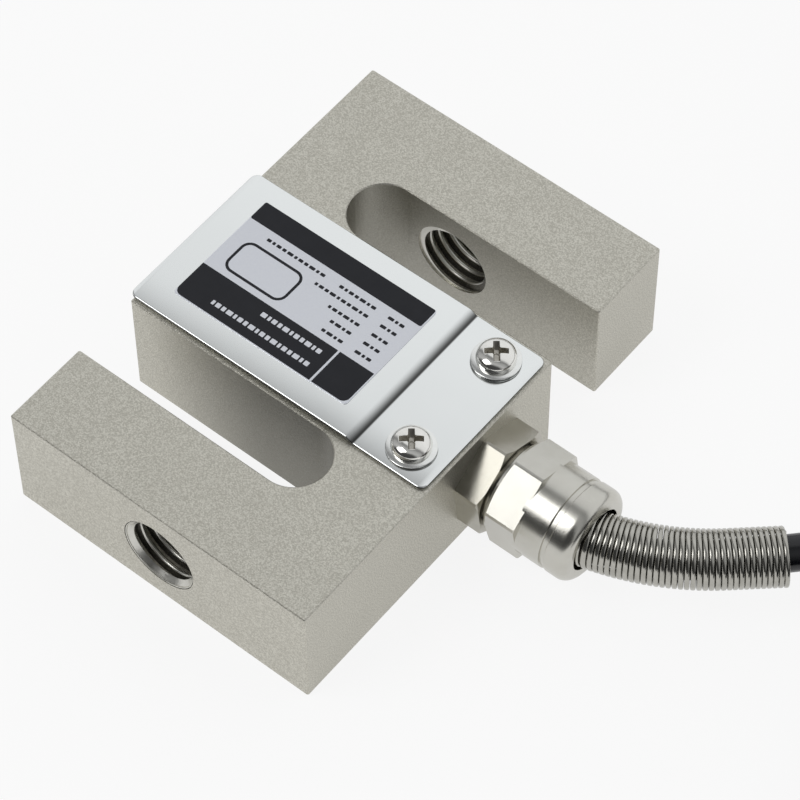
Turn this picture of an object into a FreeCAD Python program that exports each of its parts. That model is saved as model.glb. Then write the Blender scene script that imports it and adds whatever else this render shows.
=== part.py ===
import FreeCAD, Part
import math
import os

# S type load cell, in millimetres. It lies on its back face.
# Origin: centre of the back face. +X: towards the cable gland. +Y: along the load axis,
# from the lower arm to the upper one. +Z: out through the cover plate.

Vector = FreeCAD.Vector
TOUCH = 1e-6  # two places this near are one

# ---- Spring element, milled from one block ----
BODY_WIDTH = 50.8
BODY_HEIGHT = 76.2
BODY_THICKNESS = 19.0
ARM_HEIGHT = 13.8
SLOT_WIDTH = 10.4
SLOT_END_WALL = 12.3
EDGE_BREAK = 0.3
THREAD_RADIUS = 6.0  # M12, bored to its major diameter; the thread's ridges are left off

# ---- Gauge pocket, blind from the front ----
WEB_RADIUS = 9.3
WEB_THICKNESS = 5.0
RECESS_END_WALL = 3.9  # between the board's recess and the block's side
RECESS_SHOULDER = 2.1  # by which the recess is narrower than the round pocket, on either side
RECESS_DEPTH = 6.0
RECESS_CORNER = 2.5

# ---- Cover plate, pressed from sheet, and what holds it ----
SHEET = 0.5
SHEET_BEND = 0.5  # inside radius
COVER_OVERHANG = 0.7  # past the side that faces away from the gland
COVER_SETBACK = 0.5  # from the gland's side
COVER_MARGIN = 0.55  # from either slot
COVER_CORNER = 1.2
LIFT_FAR = 0.1  # height of the panel's underside over the block, far from the step
LIFT_STEP = 0.55  # and at the step
TAB_LENGTH = 11.8
STEP_RUN = 2.0
SEAL_INSET = 0.45
SEAL_BAND = 0.7  # least width of the sealing bead beside the pocket
LABEL_FROM_END = 4.6
LABEL_FROM_STEP = 2.4
LABEL_FROM_LOWER_EDGE = 3.85
LABEL_FROM_UPPER_EDGE = 3.25
LABEL_THICKNESS = 0.1
LABEL_CORNER = 0.5
SCREW_FROM_END = 5.3
SCREW_FROM_EDGE = 4.3
SCREW_RADIUS = 1.5
SCREW_LENGTH = 8.0
HEAD_RADIUS = 2.8
HEAD_HEIGHT = 1.9
HEAD_RIM = 0.65  # height of the head's straight side
HEAD_BULGE = (2.4, 1.45)  # radius and height of a point half way up its dome
CROWN_RADIUS = 1.4
RECESS_ARM = 1.65
RECESS_SLOT = 0.75
RECESS_BITE = 1.2
RECESS_TURN = 39.0
WASHER_RADIUS = 3.5
WASHER_THICKNESS = 0.5
TAP_CLEARANCE = 0.05
SCREW_CLEARANCE = 0.2
TAP_RUN_OUT = 1.0

# ---- Cable gland ----
HEX_ACROSS_FLATS = 14.0
HEX_TURN = 37.0
HEX_CHAMFER = 1.0
SPIGOT_RADIUS = 5.0
SPIGOT_LENGTH = 8.0
BODY_HEX_LENGTH = 4.1
NUT_GAP = 0.5
NUT_WALL = 1.0  # of the cap, over the middle of its flats
NECK_LENGTH = 7.5
SOCKET_DEPTH = 5.5
SOCKET_WALL = 1.6
CAP_HEX_LENGTH = 5.45
CAP_PROUD = 0.05  # of the sleeve over the flats
CAP_SLEEVE_LENGTH = 4.55
GROOVE_WIDTH = 0.35
GROOVE_DEPTH = 0.3
NOSE_LENGTH = 3.25
NOSE_WALL = 0.7  # round the guard's bore, at the tip
NOSE_BORE_DEPTH = 3.9
CLAW_LENGTH = 2.1
CLAW_RIM = 0.5
CLAW_STEP = 0.6  # by which the claw is smaller than the neck it stands on
CLAW_WALL = 1.2  # at its thin end
CLAW_SLITS = 6
CLAW_SLIT_WIDTH = 0.6
GLAND_FIT = 0.05
SEAL_FIT = 0.1

# ---- Cable, and the spring that guards its exit ----
CABLE_RADIUS = 2.6
BORE_CLEARANCE = 0.4
CABLE_STICKS_IN = 0.7
GUARD_CLEARANCE = 0.9  # between the cable and the guard's wire, all round
GUARD_WIRE = 0.65
GUARD_PLAY = 0.6
GUARD_OFFSET = -0.32  # the guard's foot leans to one side of the nose's bore
GUARD_KINK = 16.0  # degrees by which it turns where it leaves the nose
GUARD_KINK_RADIUS = 8.0
GUARD_END_ANGLE = 41.8
GUARD_BEND_RADIUS = 39.45
GUARD_STRAIGHT = 8.3
CABLE_BEND_RADIUS = 24.0
CABLE_LEAN = 5.0  # degrees by which the cable leans to one side of the guard's end
CABLE_LEAN_RADIUS = 40.0
CABLE_LEAN_LENGTH = 5.6
CABLE_IN_GUARD = 1.7  # the free cable starts this far inside the guard's end

# The free cable goes straight on from the guard, comes down to the floor and runs to a coil.
# Its points after the first run are chosen by hand.
FIRST_RUN = 9.0
BEND_SHARE = 0.45  # of the shorter run beside a bend, that the bend takes up
ROUTE = [
    (78.0, 27.1, 7.8),
    (87.8, 33.1, 4.7),
    (99.8, 38.0, 2.75),
]
COIL_CENTRE = (126.8, 6.0)
COIL_RADIUS = 30.5  # at the middle of the turns
COIL_ENTRY = 106.0  # degrees round the coil where the cable joins its outer turn
COIL_LAYERS = 3
COIL_BOTTOM_TURNS = 4
GROOVE_CLEARANCE = 0.3
GROOVE_SLOPE = 0.31  # of the sides of the groove between the two top turns
LAYER_PITCH = CABLE_RADIUS * math.sqrt(3)

# The cable's last stretch lies on top of the coil, with its stripped leads.
TAIL_START = 106.0
TAIL_SWEEP = 122.0  # the coil turns clockwise, so these angles run downwards
TAIL_SINK = 0.05  # of the top turn into the coil that it is one with
SLEEVE_WALL = 0.35
SLEEVE_SWEEP = 26.0
LEAD_RADIUS = 0.65
LEAD_SWEEP = 52.0
STRAND_RADIUS = 0.38
STRAND_LENGTH = 5.3
LEAD_GAP = 0.06
LEADS = {"red": (-1, 0), "black": (1, 0), "green": (-1, 1), "white": (1, 1)}  # side, storey

# ---- Inside the pocket ----
GAUGE_LENGTH = 4.2
GAUGE_WIDTH = 2.8
GAUGE_THICKNESS = 0.12
GAUGE_SPREAD = 2.9
PAD_THICKNESS = 0.5
BOARD_THICKNESS = 1.0
BOARD_GAP = 1.0  # to the recess's end
BOARD_SIDE_GAP = 1.2  # and to its sides
BOARD_SETBACK = 0.2  # from the round pocket's edge
BOARD_CORNER = 0.6
PAD_INSET = 1.0
RESISTOR = (2.0, 1.2, 0.5)
RESISTOR_FROM_END = 1.0
RESISTOR_SPACING = 3.5
CORE_RADIUS = 0.55
CORE_OFFSET = 0.8
CORE_FREE = 4.0  # how far a core goes on straight from the cable's cut end
CORE_RISE = 1.8  # how far it climbs over the board before it comes down on it
CORE_DROP_START = 2.5  # before the board's edge
CORE_REACH = 3.0  # past the board's edge, to the core's soldered end
CORE_BEND = 1.5
SOLDER_SPACING = 2.8

# ---- Places worked out from the sizes ----
HALF_WIDTH = BODY_WIDTH / 2
HALF_HEIGHT = BODY_HEIGHT / 2
AXIS_Z = BODY_THICKNESS / 2
BAR_HALF = HALF_HEIGHT - ARM_HEIGHT - SLOT_WIDTH
RECESS_X0 = RECESS_END_WALL - HALF_WIDTH
RECESS_HALF_WIDTH = WEB_RADIUS - RECESS_SHOULDER
COVER_X0 = -HALF_WIDTH - COVER_OVERHANG
COVER_X1 = HALF_WIDTH - COVER_SETBACK
COVER_HALF_WIDTH = BAR_HALF - COVER_MARGIN
STEP_END = COVER_X1 - TAB_LENGTH
STEP_X = STEP_END - STEP_RUN
TAB_TOP = BODY_THICKNESS + SHEET
LABEL_X0 = COVER_X0 + LABEL_FROM_END
LABEL_X1 = STEP_X - LABEL_FROM_STEP
LABEL_Y0 = LABEL_FROM_LOWER_EDGE - COVER_HALF_WIDTH
LABEL_Y1 = COVER_HALF_WIDTH - LABEL_FROM_UPPER_EDGE
SCREW_X = COVER_X1 - SCREW_FROM_END
SCREW_Y = COVER_HALF_WIDTH - SCREW_FROM_EDGE
HEX_START = HALF_WIDTH
HEX_END = HEX_START + BODY_HEX_LENGTH
CAP_START = HEX_END + NUT_GAP
NECK_RADIUS = HEX_ACROSS_FLATS / 2 - NUT_WALL
NECK_END = HEX_END + NECK_LENGTH
CAP_RADIUS = HEX_ACROSS_FLATS / 2 + CAP_PROUD
CAP_HEX_END = CAP_START + CAP_HEX_LENGTH
GROOVE_START = CAP_HEX_END + CAP_SLEEVE_LENGTH
NOSE_START = GROOVE_START + GROOVE_WIDTH
CAP_END = NOSE_START + NOSE_LENGTH
NOSE_FLOOR = CAP_END - NOSE_BORE_DEPTH
CLAW_END = NECK_END + CLAW_LENGTH
SOCKET_RADIUS = NECK_RADIUS - SOCKET_WALL
CABLE_BORE = CABLE_RADIUS + BORE_CLEARANCE
GUARD_RADIUS = CABLE_RADIUS + GUARD_CLEARANCE + GUARD_WIRE
NOSE_BORE = GUARD_RADIUS + GUARD_PLAY
NOSE_ROUND = CAP_RADIUS - NOSE_BORE - NOSE_WALL
SLEEVE_RADIUS = CABLE_RADIUS + SLEEVE_WALL
BOARD_Z = BODY_THICKNESS - RECESS_DEPTH + PAD_THICKNESS
BOARD_TOP = BOARD_Z + BOARD_THICKNESS
BOARD_X0 = RECESS_X0 + BOARD_GAP
BOARD_X1 = -WEB_RADIUS - BOARD_SETBACK
BOARD_HALF_WIDTH = RECESS_HALF_WIDTH - BOARD_SIDE_GAP


# ---- Helpers ----
def heading(degrees):
    """A level direction, by its angle from +X towards +Y."""
    return Vector(math.cos(math.radians(degrees)), math.sin(math.radians(degrees)), 0)


def corner_arc(before, corner, after, radius):
    """The start, middle and end of the arc that rounds a corner."""
    arriving = (corner - before).normalize()
    leaving = (after - corner).normalize()
    half_turn = arriving.getAngle(leaving) / 2
    reach = radius * math.tan(half_turn)
    inward = (leaving - arriving).normalize()
    middle = corner + inward * (radius / math.cos(half_turn) - radius)
    return corner - arriving * reach, middle, corner + leaving * reach


def rounded_edges(points, radii, closed=False):
    """Straight edges through the points, with a tangent arc at each corner whose radius isn't 0."""
    points = [Vector(*p) for p in points]
    count = len(points)
    stops = []
    for i, (point, radius) in enumerate(zip(points, radii)):
        if radius == 0:
            stops.append((point,))
        else:
            stops.append(corner_arc(points[i - 1], point, points[(i + 1) % count], radius))
    edges = []
    for i, stop in enumerate(stops):
        if len(stop) == 3:
            edges.append(Part.Arc(*stop).toShape())
        last, following = stop[-1], stops[(i + 1) % count][0]
        joins_on = closed or i < count - 1
        if joins_on and (following - last).Length > TOUCH:
            edges.append(Part.LineSegment(last, following).toShape())
    return edges


def rod(edges, radius):
    """A round solid rod along joined edges that start at a flat face."""
    start = edges[0].valueAt(edges[0].FirstParameter)
    along = edges[0].tangentAt(edges[0].FirstParameter)
    ring = Part.Wire([Part.Circle(start, along, radius).toShape()])
    return Part.Wire(edges).makePipeShell([ring], True, True)


def plate(points, radii, bottom, height):
    """A flat outline with rounded corners, raised from bottom by height."""
    outline = rounded_edges([(x, y, bottom) for x, y in points], radii, closed=True)
    return Part.Face(Part.Wire(outline)).extrude(Vector(0, 0, height))


def rounded_plate(x0, x1, y0, y1, corner, bottom, height):
    return plate([(x0, y0), (x1, y0), (x1, y1), (x0, y1)], [corner] * 4, bottom, height)


def side_profile(points, y0, y1):
    """A profile of (x, z, corner radius) points, extruded across the block from y0 to y1."""
    outline = rounded_edges([(x, y0, z) for x, z, _ in points], [p[2] for p in points], closed=True)
    return Part.Face(Part.Wire(outline)).extrude(Vector(0, y1 - y0, 0))


def turned(profile):
    """A profile of (x, radius) points, turned about the gland's axis."""
    wire = Part.makePolygon([Vector(x, 0, AXIS_Z + r) for x, r in profile + profile[:1]])
    return Part.Face(wire).revolve(Vector(0, 0, AXIS_Z), Vector(1, 0, 0), 360)


def bore(radius, x0, x1):
    """A round bore or bar along the gland's axis."""
    return Part.makeCylinder(radius, x1 - x0, Vector(x0, 0, AXIS_Z), Vector(1, 0, 0))


def hex_corner():
    return HEX_ACROSS_FLATS / math.sqrt(3)


def hexagon(x0, x1):
    """A hexagonal bar along the gland's axis."""
    corner = hex_corner()
    angles = [math.radians(HEX_TURN + 60 * k) for k in range(7)]
    points = [Vector(x0, corner * math.cos(a), AXIS_Z + corner * math.sin(a)) for a in angles]
    return Part.Face(Part.makePolygon(points)).extrude(Vector(x1 - x0, 0, 0))


def upright(radius, x, y, z0, z1):
    return Part.makeCylinder(radius, z1 - z0, Vector(x, y, z0))


# ---- Spring element ----
def s_outline():
    """Corners of the S, and the radius of each: two slots enter it from opposite sides."""
    lower = -HALF_HEIGHT + ARM_HEIGHT
    end_x = HALF_WIDTH - SLOT_END_WALL
    half = [
        (-HALF_WIDTH, -HALF_HEIGHT, EDGE_BREAK),
        (HALF_WIDTH, -HALF_HEIGHT, EDGE_BREAK),
        (HALF_WIDTH, -lower - SLOT_WIDTH, EDGE_BREAK),
        (-end_x, -lower - SLOT_WIDTH, SLOT_WIDTH / 2),
        (-end_x, -lower, SLOT_WIDTH / 2),
        (HALF_WIDTH, -lower, EDGE_BREAK),
    ]
    return half + [(-x, -y, radius) for x, y, radius in half]


def solid_s():
    corners = s_outline()
    shape = plate([c[:2] for c in corners], [c[2] for c in corners], 0, BODY_THICKNESS)
    rims = [
        edge
        for edge in shape.Edges
        if abs(edge.BoundBox.ZMax - edge.BoundBox.ZMin) < TOUCH
    ]
    return shape.makeChamfer(EDGE_BREAK * 0.5, rims)


def gauge_pocket():
    web = upright(WEB_RADIUS, 0, 0, WEB_THICKNESS, BODY_THICKNESS + 1)
    recess = rounded_plate(
        RECESS_X0,
        0,
        -RECESS_HALF_WIDTH,
        RECESS_HALF_WIDTH,
        RECESS_CORNER,
        BODY_THICKNESS - RECESS_DEPTH,
        RECESS_DEPTH + 1,
    )
    return web.fuse(recess)


def screw_places():
    return [(SCREW_X, side * SCREW_Y) for side in (-1, 1)]


def load_body():
    shape = solid_s().cut(gauge_pocket())
    for y0 in (-HALF_HEIGHT - 1, HALF_HEIGHT - ARM_HEIGHT - 1):
        hole = Part.makeCylinder(
            THREAD_RADIUS, ARM_HEIGHT + 2, Vector(0, y0, AXIS_Z), Vector(0, 1, 0)
        )
        shape = shape.cut(hole)
    shape = shape.cut(bore(SPIGOT_RADIUS + GLAND_FIT, HALF_WIDTH - SPIGOT_LENGTH, HALF_WIDTH + 1))
    shape = shape.cut(bore(CABLE_BORE, 0, HALF_WIDTH))
    floor = TAB_TOP + WASHER_THICKNESS - SCREW_LENGTH - TAP_RUN_OUT
    for x, y in screw_places():
        shape = shape.cut(upright(SCREW_RADIUS + TAP_CLEARANCE, x, y, floor, BODY_THICKNESS + 1))
    return shape


# ---- Cover ----
def panel_lift(x):
    """Height of the raised panel's underside over the block."""
    share = (x - COVER_X0) / (STEP_X - COVER_X0)
    return LIFT_FAR + (LIFT_STEP - LIFT_FAR) * share


def cover_plate():
    under = [
        (COVER_X0, BODY_THICKNESS + LIFT_FAR, 0),
        (STEP_X, BODY_THICKNESS + LIFT_STEP, SHEET_BEND),
        (STEP_END, BODY_THICKNESS, SHEET_BEND + SHEET),
        (COVER_X1, BODY_THICKNESS, 0),
    ]
    over = [
        (COVER_X1, TAB_TOP, 0),
        (STEP_END, TAB_TOP, SHEET_BEND),
        (STEP_X, TAB_TOP + LIFT_STEP, SHEET_BEND + SHEET),
        (COVER_X0, TAB_TOP + LIFT_FAR, 0),
    ]
    half = COVER_HALF_WIDTH
    shape = side_profile(under + over, -half, half)
    blank = rounded_plate(
        COVER_X0, COVER_X1, -half, half, COVER_CORNER, BODY_THICKNESS - 1, LIFT_STEP + SHEET + 2
    )
    shape = shape.common(blank)
    for x, y in screw_places():
        shape = shape.cut(
            upright(SCREW_RADIUS + SCREW_CLEARANCE, x, y, BODY_THICKNESS - 1, TAB_TOP + 1)
        )
    return shape


def cover_seal():
    """The bead of sealant that fills the wedge under the raised panel, round the pocket."""
    x0 = -HALF_WIDTH + SEAL_INSET
    x1 = STEP_X - SHEET_BEND
    half = COVER_HALF_WIDTH - SEAL_INSET
    wedge = [
        (x0, BODY_THICKNESS, 0),
        (x1, BODY_THICKNESS, 0),
        (x1, BODY_THICKNESS + panel_lift(x1), 0),
        (x0, BODY_THICKNESS + panel_lift(x0), 0),
    ]
    window = rounded_plate(
        RECESS_X0 - SEAL_BAND,
        WEB_RADIUS + SEAL_BAND,
        -WEB_RADIUS - SEAL_BAND,
        WEB_RADIUS + SEAL_BAND,
        RECESS_CORNER,
        BODY_THICKNESS - 1,
        LIFT_STEP + 2,
    )
    return side_profile(wedge, -half, half).cut(window)


def rating_label():
    """A foil label that lies on the sloping panel."""
    ends = [(x, TAB_TOP + panel_lift(x), 0) for x in (LABEL_X0, LABEL_X1)]
    top = [(x, z + LABEL_THICKNESS, 0) for x, z, _ in reversed(ends)]
    foil = side_profile(ends + top, LABEL_Y0, LABEL_Y1)
    blank = rounded_plate(
        LABEL_X0,
        LABEL_X1,
        LABEL_Y0,
        LABEL_Y1,
        LABEL_CORNER,
        BODY_THICKNESS,
        LIFT_STEP + SHEET + 1,
    )
    return foil.common(blank)


def cover_washer(x, y):
    top = TAB_TOP + WASHER_THICKNESS
    ring = upright(WASHER_RADIUS, x, y, TAB_TOP, top)
    return ring.cut(upright(SCREW_RADIUS + SCREW_CLEARANCE, x, y, TAB_TOP - 1, top + 1))


def cross_recess(x, y, top):
    """A cross whose four arms slope in towards its bottom."""
    shape = None
    for turn in (0, 90):
        points = [(-RECESS_ARM, 1), (-RECESS_ARM, 0), (-RECESS_ARM / 3, -RECESS_BITE)]
        points += [(-a, z) for a, z in reversed(points)]
        wire = Part.makePolygon([Vector(a, -RECESS_SLOT / 2, z) for a, z in points + points[:1]])
        arm = Part.Face(wire).extrude(Vector(0, RECESS_SLOT, 0))
        arm.rotate(Vector(0, 0, 0), Vector(0, 0, 1), RECESS_TURN + turn)
        shape = shape.fuse(arm) if shape else arm
    shape.translate(Vector(x, y, top))
    return shape


def cover_screw(x, y):
    """A pan head screw: a domed head on a plain shank."""
    seat = TAB_TOP + WASHER_THICKNESS
    top = seat + HEAD_HEIGHT
    tip = seat - SCREW_LENGTH
    bulge_radius, bulge_height = HEAD_BULGE
    shoulder = Vector(HEAD_RADIUS, 0, seat + HEAD_RIM)
    crown = Vector(CROWN_RADIUS, 0, top)
    dome = Part.Arc(shoulder, Vector(bulge_radius, 0, seat + bulge_height), crown).toShape()
    straight = [crown, Vector(0, 0, top), Vector(0, 0, tip), Vector(SCREW_RADIUS, 0, tip)]
    straight += [Vector(SCREW_RADIUS, 0, seat), Vector(HEAD_RADIUS, 0, seat), shoulder]
    half = Part.Face(Part.Wire([dome] + Part.makePolygon(straight).Edges))
    shape = half.revolve(Vector(0, 0, 0), Vector(0, 0, 1), 360)
    shape.translate(Vector(x, y, 0))
    return shape.cut(cross_recess(x, y, top))


# ---- Cable gland ----
def gland_body():
    """The part that screws into the block: spigot, hexagon and threaded neck in one."""
    corner = hex_corner()
    trim = turned(
        [
            (HEX_START, 0),
            (HEX_START, corner),
            (HEX_END - HEX_CHAMFER, corner),
            (HEX_END, HEX_ACROSS_FLATS / 2),
            (HEX_END, 0),
        ]
    )
    shape = hexagon(HEX_START, HEX_END).common(trim)
    shape = shape.fuse(bore(SPIGOT_RADIUS, HEX_START - SPIGOT_LENGTH, HEX_START))
    shape = shape.fuse(bore(NECK_RADIUS, HEX_END, NECK_END))
    shape = shape.cut(bore(CABLE_BORE, HEX_START - SPIGOT_LENGTH - 1, NECK_END + 1))
    return shape.cut(bore(SOCKET_RADIUS, NECK_END - SOCKET_DEPTH, NECK_END + 1)).removeSplitter()


def gland_seal():
    """The rubber sleeve that grips the cable."""
    sleeve = bore(SOCKET_RADIUS - SEAL_FIT, NECK_END - SOCKET_DEPTH, NECK_END)
    return sleeve.cut(bore(CABLE_RADIUS, NECK_END - SOCKET_DEPTH - 1, NECK_END + 1))


def claw_profile(gap):
    """The cone of the claw's outside, or of its seat in the cap when gap is above zero."""
    wide = NECK_RADIUS - CLAW_STEP + gap
    narrow = CABLE_RADIUS + CLAW_WALL + gap
    base = NECK_END + CLAW_RIM + gap
    return [(NECK_END, wide), (base, wide), (CLAW_END + gap, narrow)]


def gland_claw():
    """The slit ring that the cap closes round the cable."""
    shape = turned([(NECK_END, 0)] + claw_profile(0) + [(CLAW_END, 0)])
    shape = shape.cut(bore(CABLE_RADIUS + SEAL_FIT, NECK_END - 1, CLAW_END + 1))
    for k in range(CLAW_SLITS):
        slit = Part.makeBox(
            CLAW_LENGTH,
            CLAW_SLIT_WIDTH,
            NECK_RADIUS,
            Vector(NECK_END + CLAW_RIM, -CLAW_SLIT_WIDTH / 2, AXIS_Z + CABLE_RADIUS / 2),
        )
        slit.rotate(Vector(0, 0, AXIS_Z), Vector(1, 0, 0), 360 * k / CLAW_SLITS)
        shape = shape.cut(slit)
    return shape


def cap_sleeve():
    """The cap's round part, up to its rounded nose, with the groove round it."""
    shape = bore(CAP_RADIUS, CAP_HEX_END, CAP_END)
    tip = [edge for edge in shape.Edges if abs(edge.BoundBox.XMin - CAP_END) < TOUCH]
    shape = shape.makeFillet(NOSE_ROUND, tip)
    ring = bore(CAP_RADIUS + 1, GROOVE_START, NOSE_START)
    return shape.cut(ring.cut(bore(CAP_RADIUS - GROOVE_DEPTH, GROOVE_START, NOSE_START)))


def gland_cap():
    """The compression nut: hexagon, sleeve, groove and rounded nose in one."""
    corner = hex_corner()
    trim = turned(
        [
            (CAP_START, 0),
            (CAP_START, HEX_ACROSS_FLATS / 2),
            (CAP_START + HEX_CHAMFER, corner),
            (CAP_HEX_END - HEX_CHAMFER * 0.5, corner),
            (CAP_HEX_END, CAP_RADIUS),
            (CAP_HEX_END, 0),
        ]
    )
    shape = hexagon(CAP_START, CAP_HEX_END).common(trim).fuse(cap_sleeve())
    seat = [(CAP_START - 1, 0), (CAP_START - 1, NECK_RADIUS + GLAND_FIT)]
    seat += [(NECK_END + GLAND_FIT, NECK_RADIUS + GLAND_FIT)]
    seat += claw_profile(GLAND_FIT)[1:] + [(CLAW_END + GLAND_FIT, 0)]
    shape = shape.cut(turned(seat))
    shape = shape.cut(bore(CABLE_BORE + SEAL_FIT, CLAW_END, CAP_END + 1))
    return shape.cut(bore(NOSE_BORE, NOSE_FLOOR, CAP_END + 1)).removeSplitter()


# ---- Cable and its guard ----
def guard_corners():
    """The guard's corner points and radii: a kink at the nose, then one long bend."""
    kink = math.radians(GUARD_KINK)
    bend = math.radians(GUARD_END_ANGLE - GUARD_KINK)
    kink_reach = GUARD_KINK_RADIUS * math.tan(kink / 2)
    bend_reach = GUARD_BEND_RADIUS * math.tan(bend / 2)
    foot = Vector(NOSE_FLOOR, GUARD_OFFSET, AXIS_Z)
    corner = Vector(CAP_END - kink_reach, GUARD_OFFSET, AXIS_Z)
    bend_at = corner + heading(GUARD_KINK) * (kink_reach + bend_reach)
    end = bend_at + heading(GUARD_END_ANGLE) * (bend_reach + GUARD_STRAIGHT)
    return [foot, corner, bend_at, end], [0, GUARD_KINK_RADIUS, GUARD_BEND_RADIUS, 0]


def guard_spring():
    """The close-wound spring, as the bent tube that its wire fills."""
    edges = rounded_edges(*guard_corners())
    return rod(edges, GUARD_RADIUS).cut(rod(edges, GUARD_RADIUS - GUARD_WIRE))


def cable_in_guard():
    """Corner points and radii of the cable inside the block, the gland and the guard."""
    end = guard_corners()[0][-1]
    ahead = heading(GUARD_END_ANGLE)
    start = Vector(WEB_RADIUS - CABLE_STICKS_IN, 0, AXIS_Z)
    bend_at = end - ahead * (end.y / ahead.y)
    leaning = heading(GUARD_END_ANGLE + CABLE_LEAN)
    lean_at = end - ahead * (CABLE_IN_GUARD + CABLE_LEAN_LENGTH)
    stop = lean_at + leaning * CABLE_LEAN_LENGTH
    return [start, bend_at, lean_at, stop], [0, CABLE_BEND_RADIUS, CABLE_LEAN_RADIUS, 0]


def cable_inner():
    return rod(rounded_edges(*cable_in_guard()), CABLE_RADIUS)


def on_coil(radius, degrees, z):
    """A point on the coil, by its angle from +X towards +Y."""
    return Vector(*COIL_CENTRE, z) + heading(degrees) * radius


def outer_turn():
    return COIL_RADIUS + (COIL_BOTTOM_TURNS - 1) * CABLE_RADIUS


def run_edges():
    """The free cable's path from the guard to the coil, each bend as wide as its runs allow."""
    start = cable_in_guard()[0][-1]
    straight_on = start + heading(GUARD_END_ANGLE + CABLE_LEAN) * FIRST_RUN
    entry = on_coil(outer_turn(), COIL_ENTRY, CABLE_RADIUS)
    points = [start, straight_on] + [Vector(*p) for p in ROUTE] + [entry]
    radii = [0]
    for before, here, after in zip(points, points[1:], points[2:]):
        arriving = here - before
        leaving = after - here
        shorter = min(arriving.Length, leaving.Length)
        radii.append(BEND_SHARE * shorter / math.tan(arriving.getAngle(leaving) / 2))
    print("cable run: radii", [round(r, 1) for r in radii[1:]])
    return rounded_edges(points, radii + [0])


def cable_run(edges):
    shape = rod(edges, CABLE_RADIUS)
    length = sum(edge.Length for edge in edges)
    filled = shape.Volume / (math.pi * CABLE_RADIUS**2 * length)
    print("cable run: length", round(length, 1), "volume over section times length", round(filled, 4))
    return shape


def coil_section():
    """The coil's outline over the coil's radius: layers of turns, each nested in the one below."""
    top = CABLE_RADIUS + (COIL_LAYERS - 1) * LAYER_PITCH
    low = (COIL_BOTTOM_TURNS - 1) * CABLE_RADIUS
    high = low - (COIL_LAYERS - 1) * CABLE_RADIUS
    half = [
        (low + CABLE_RADIUS, 0),
        (low + CABLE_RADIUS, CABLE_RADIUS),
        (high + CABLE_RADIUS * math.cos(math.radians(30)), top + CABLE_RADIUS / 2),
        (high, top + CABLE_RADIUS),
        (0, top + CABLE_RADIUS * (1 - GROOVE_SLOPE)),
    ]
    return half + [(-a, z) for a, z in reversed(half[:-1])]


def tail_height(radius):
    """Height of a round piece that lies in the groove between the two top turns."""
    return coil_section()[4][1] + radius * math.hypot(1, GROOVE_SLOPE)


def arc_rod(radius, offset, z, start, sweep):
    """A round rod that follows the coil clockwise from start degrees."""
    ring = Part.Circle(Vector(COIL_RADIUS + offset, 0, z), Vector(0, 1, 0), radius)
    face = Part.Face(Part.Wire([ring.toShape()]))
    face.rotate(Vector(0, 0, 0), Vector(0, 0, 1), start)
    face.translate(Vector(*COIL_CENTRE, 0))
    return face.revolve(Vector(*COIL_CENTRE, 0), Vector(0, 0, -1), sweep)


def cable_coil(arriving):
    """The outer shape of the wound cable, with room for the cable that arrives at its outer turn
    and with the start of one more turn on top."""
    section = [Vector(COIL_RADIUS + a, 0, z) for a, z in coil_section()]
    shape = Part.Face(Part.makePolygon(section + section[:1]))
    shape = shape.revolve(Vector(0, 0, 0), Vector(0, 0, 1), 360)
    shape.translate(Vector(*COIL_CENTRE, 0))
    shape = shape.cut(rod(arriving, CABLE_RADIUS + GROOVE_CLEARANCE))
    tail = arc_rod(CABLE_RADIUS, 0, tail_height(CABLE_RADIUS) - TAIL_SINK, TAIL_START, TAIL_SWEEP)
    return shape.fuse(tail)


def cable_end_sleeve():
    z = tail_height(SLEEVE_RADIUS)
    return arc_rod(SLEEVE_RADIUS, 0, z, TAIL_START - TAIL_SWEEP, SLEEVE_SWEEP)


def lead_place(side, storey):
    """A lead's offset over the groove, and its height: two lie in it and two on those."""
    offset = side * (LEAD_RADIUS + LEAD_GAP / 2)
    rise = abs(offset) * GROOVE_SLOPE + storey * (2 * LEAD_RADIUS + LEAD_GAP)
    return offset, tail_height(LEAD_RADIUS) + rise


def lead(side, storey):
    """One insulated lead, from the sleeve's end face to where it is stripped."""
    start = TAIL_START - TAIL_SWEEP - SLEEVE_SWEEP
    return arc_rod(LEAD_RADIUS, *lead_place(side, storey), start, LEAD_SWEEP)


def lead_strands():
    """The tinned ends of the leads, beyond the insulation."""
    end = TAIL_START - TAIL_SWEEP - SLEEVE_SWEEP - LEAD_SWEEP
    strands = []
    for place in LEADS.values():
        offset, z = lead_place(*place)
        start = on_coil(COIL_RADIUS + offset, end, z)
        strands.append(Part.makeCylinder(STRAND_RADIUS, STRAND_LENGTH, start, heading(end - 90)))
    return Part.makeCompound(strands)


# ---- Inside the pocket ----
def gauge_sides():
    """Each gauge's side of the load axis and of the block's middle."""
    sides = {"left": -1, "right": 1, "lower": -1, "upper": 1}
    return {f"{v}_{h}": (sides[h], sides[v]) for v in ("upper", "lower") for h in ("left", "right")}


def strain_gauge(side_x, side_y):
    """A foil gauge on the web, turned to lie along the shear's pull or push."""
    foil = Part.makeBox(
        GAUGE_LENGTH,
        GAUGE_WIDTH,
        GAUGE_THICKNESS,
        Vector(-GAUGE_LENGTH / 2, -GAUGE_WIDTH / 2, WEB_THICKNESS),
    )
    foil.rotate(Vector(0, 0, 0), Vector(0, 0, 1), -45 * side_x * side_y)
    foil.translate(Vector(side_x * GAUGE_SPREAD, side_y * GAUGE_SPREAD, 0))
    return foil


def board_plate(inset, corner, bottom, height):
    """A plate as large as the terminal board, less the inset all round."""
    half = BOARD_HALF_WIDTH - inset
    return rounded_plate(BOARD_X0 + inset, BOARD_X1 - inset, -half, half, corner, bottom, height)


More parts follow.
